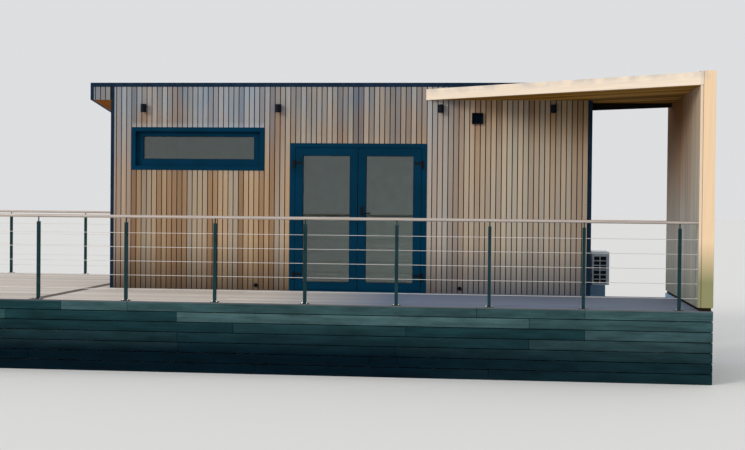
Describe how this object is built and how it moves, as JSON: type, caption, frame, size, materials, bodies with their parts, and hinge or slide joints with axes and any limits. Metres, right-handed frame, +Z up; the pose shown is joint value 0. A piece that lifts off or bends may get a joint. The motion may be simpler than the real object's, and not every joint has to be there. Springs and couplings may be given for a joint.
{
  "type": "tiny house",
  "caption": "Timber-clad tiny house with a glazed double door, a strip window and a wedge canopy over a side passage, on a boarded platform with a cable railing.",
  "frame": {"origin": "ground level under the middle of the whole footprint", "axes": "+X along the front from left to right, +Y from the front to the back of the house, +Z up"},
  "size_m": [12.103, 6.14, 3.923],
  "materials": {
    "wall_cladding": "weathered softwood slats, matt",
    "plinth_masonry": "rendered block, matt",
    "floor_boards": "oiled boards, satin",
    "roof_sheet": "standing sheet, satin",
    "painted_trim": "folded sheet, satin",
    "window_frame": "powder coat, fine matt",
    "hinge_steel": "powder coat, satin",
    "handle_metal": "dark brushed, worn bright on the lever",
    "clear_glass": "clear, double glazed",
    "fitting_metal": "powder coat, satin",
    "vent_plastic": "moulded, matt",
    "fascia_boards": "stained boards, matt",
    "soffit_boards": "stained boards, matt",
    "deck_boards": "weathered, matt",
    "skirt_boards": "stained and weathered, matt",
    "framing_timber": "sawn, matt",
    "post_steel": "satin",
    "rail_steel": "satin",
    "unit_paint": "stoved enamel, satin",
    "guard_plastic": "moulded, matt"
  },
  "bodies": {
    "house": {"back_wall": "wall_cladding", "base_walls": "plinth_masonry", "cables_back": "rail_steel", "cables_front": "rail_steel", "cables_left": "rail_steel", "canopy_fascia": "fascia_boards", "canopy_roof": "roof_sheet", "canopy_soffit": "soffit_boards", "corner_trims": "painted_trim", "deck": "deck_boards", "deck_frame": "framing_timber", "door_frame": "window_frame", "floor": "floor_boards", "frame_hinges": "hinge_steel", "front_skirt": "skirt_boards", "front_wall_left": "wall_cladding", "front_wall_over_door": "wall_cladding", "front_wall_right": "wall_cladding", "handrail": "rail_steel", "outdoor_unit": "unit_paint", "outdoor_unit_guard": "guard_plastic", "outdoor_unit_plinth": "plinth_masonry", "passage_beam": "soffit_boards", "railing_posts_back": "post_steel", "railing_posts_front": "post_steel", "railing_posts_left": "post_steel", "rear_skirts": "skirt_boards", "roof": "roof_sheet", "roof_edge_boards": "painted_trim", "roof_edge_cap": "painted_trim", "side_skirts": "skirt_boards", "side_walls": "wall_cladding", "wall_lights": "fitting_metal", "wall_outlets": "fitting_metal", "wall_vent": "vent_plastic", "window_pane": "clear_glass", "window_reveal": "window_frame", "window_sash": "window_frame", "wing_base": "plinth_masonry", "wing_edge_board": "fascia_boards", "wing_wall": "wall_cladding"},
    "left_door": {"left_leaf": "window_frame", "left_leaf_pane": "clear_glass", "left_leaf_hinges": "hinge_steel"},
    "right_door": {"right_leaf": "window_frame", "right_leaf_pane": "clear_glass", "right_leaf_hinges": "hinge_steel", "door_handle": "handle_metal"}
  },
  "joints": [
    {"name": "left_door_swing", "type": "hinge", "parent": "house", "child": "left_door", "pos_m": [0.4585, -0.654, 1.9], "axis": [0, 0, -1], "range_deg": [0, 100]},
    {"name": "right_door_swing", "type": "hinge", "parent": "house", "child": "right_door", "pos_m": [2.2965, -0.654, 1.9], "axis": [0, 0, 1], "range_deg": [0, 100]}
  ]
}
